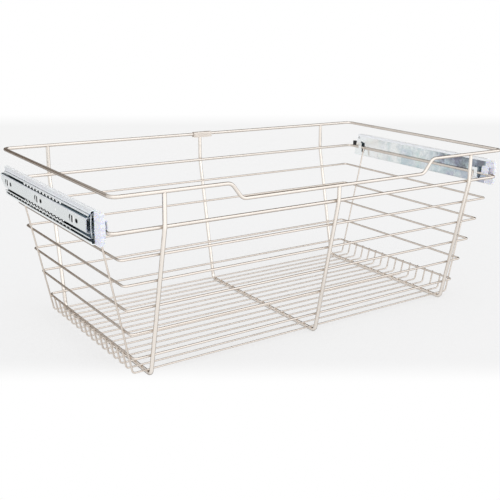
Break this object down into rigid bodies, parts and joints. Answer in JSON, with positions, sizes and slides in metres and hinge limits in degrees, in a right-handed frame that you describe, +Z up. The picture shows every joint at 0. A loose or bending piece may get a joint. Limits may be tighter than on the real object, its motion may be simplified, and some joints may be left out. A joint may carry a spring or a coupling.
{
  "type": "pull-out closet basket",
  "caption": "Rectangular welded wire closet basket with tapering walls, a dipped front rim and a full-extension ball slide along each side",
  "frame": {"origin": "on the floor below the middle of the basket", "axes": "+X to the right when facing the front, +Y to the rear, +Z up; the basket pulls out along -Y"},
  "size_m": [0.7752, 0.4081, 0.2808],
  "materials": {
    "nickel_wire": "satin nickel plate",
    "zinc_sheet": "bright zinc plate",
    "cage_sheet": "plain",
    "ball_steel": "polished",
    "clear_plastic": "translucent, slightly frosted",
    "black_rubber": "matt"
  },
  "bodies": {
    "closet_side": {"closet_channel_left": "zinc_sheet", "closet_channel_right": "zinc_sheet", "rear_bumper_left": "black_rubber", "rear_bumper_right": "black_rubber"},
    "basket": {"rim_wire": "nickel_wire", "rim_splice": "nickel_wire", "hoop_2": "nickel_wire", "hoop_3": "nickel_wire", "hoop_4": "nickel_wire", "hoop_5": "nickel_wire", "hoop_6": "nickel_wire", "hoop_7": "nickel_wire", "rib_left": "nickel_wire", "rib_centre": "nickel_wire", "rib_right": "nickel_wire", "base_wire_01": "nickel_wire", "base_wire_02": "nickel_wire", "base_wire_03": "nickel_wire", "base_wire_04": "nickel_wire", "base_wire_05": "nickel_wire", "base_wire_06": "nickel_wire", "base_wire_07": "nickel_wire", "base_wire_08": "nickel_wire", "base_wire_09": "nickel_wire", "base_wire_10": "nickel_wire", "base_wire_11": "nickel_wire", "base_wire_12": "nickel_wire", "base_wire_13": "nickel_wire", "base_wire_14": "nickel_wire", "base_wire_15": "nickel_wire", "base_wire_16": "nickel_wire", "basket_channel_left": "zinc_sheet", "basket_channel_right": "zinc_sheet", "front_clip_left": "clear_plastic", "front_clip_right": "clear_plastic"},
    "middle_left": {"middle_channel_left": "zinc_sheet"},
    "outer_retainer_left": {"outer_cage_left": "cage_sheet", "outer_balls_left": "ball_steel"},
    "inner_retainer_left": {"inner_cage_left": "cage_sheet", "inner_balls_left": "ball_steel"},
    "middle_right": {"middle_channel_right": "zinc_sheet"},
    "outer_retainer_right": {"outer_cage_right": "cage_sheet", "outer_balls_right": "ball_steel"},
    "inner_retainer_right": {"inner_cage_right": "cage_sheet", "inner_balls_right": "ball_steel"}
  },
  "joints": [
    {"name": "basket_pull", "type": "slide", "parent": "closet_side", "child": "basket", "axis": [0, -1, 0], "range_m": [0, 0.34]},
    {"name": "middle_left_run", "type": "slide", "parent": "closet_side", "child": "middle_left", "axis": [0, -1, 0], "range_m": [0, 0.17]},
    {"name": "outer_retainer_left_run", "type": "slide", "parent": "closet_side", "child": "outer_retainer_left", "axis": [0, -1, 0], "range_m": [0, 0.255]},
    {"name": "inner_retainer_left_run", "type": "slide", "parent": "closet_side", "child": "inner_retainer_left", "axis": [0, -1, 0], "range_m": [0, 0.085]},
    {"name": "middle_right_run", "type": "slide", "parent": "closet_side", "child": "middle_right", "axis": [0, -1, 0], "range_m": [0, 0.17]},
    {"name": "outer_retainer_right_run", "type": "slide", "parent": "closet_side", "child": "outer_retainer_right", "axis": [0, -1, 0], "range_m": [0, 0.255]},
    {"name": "inner_retainer_right_run", "type": "slide", "parent": "closet_side", "child": "inner_retainer_right", "axis": [0, -1, 0], "range_m": [0, 0.085]}
  ],
  "couplings": [
    {"joint": "middle_left_run", "follows": "basket_pull", "ratio": 0.5},
    {"joint": "outer_retainer_left_run", "follows": "basket_pull", "ratio": 0.75},
    {"joint": "inner_retainer_left_run", "follows": "basket_pull", "ratio": 0.25},
    {"joint": "middle_right_run", "follows": "basket_pull", "ratio": 0.5},
    {"joint": "outer_retainer_right_run", "follows": "basket_pull", "ratio": 0.75},
    {"joint": "inner_retainer_right_run", "follows": "basket_pull", "ratio": 0.25}
  ]
}
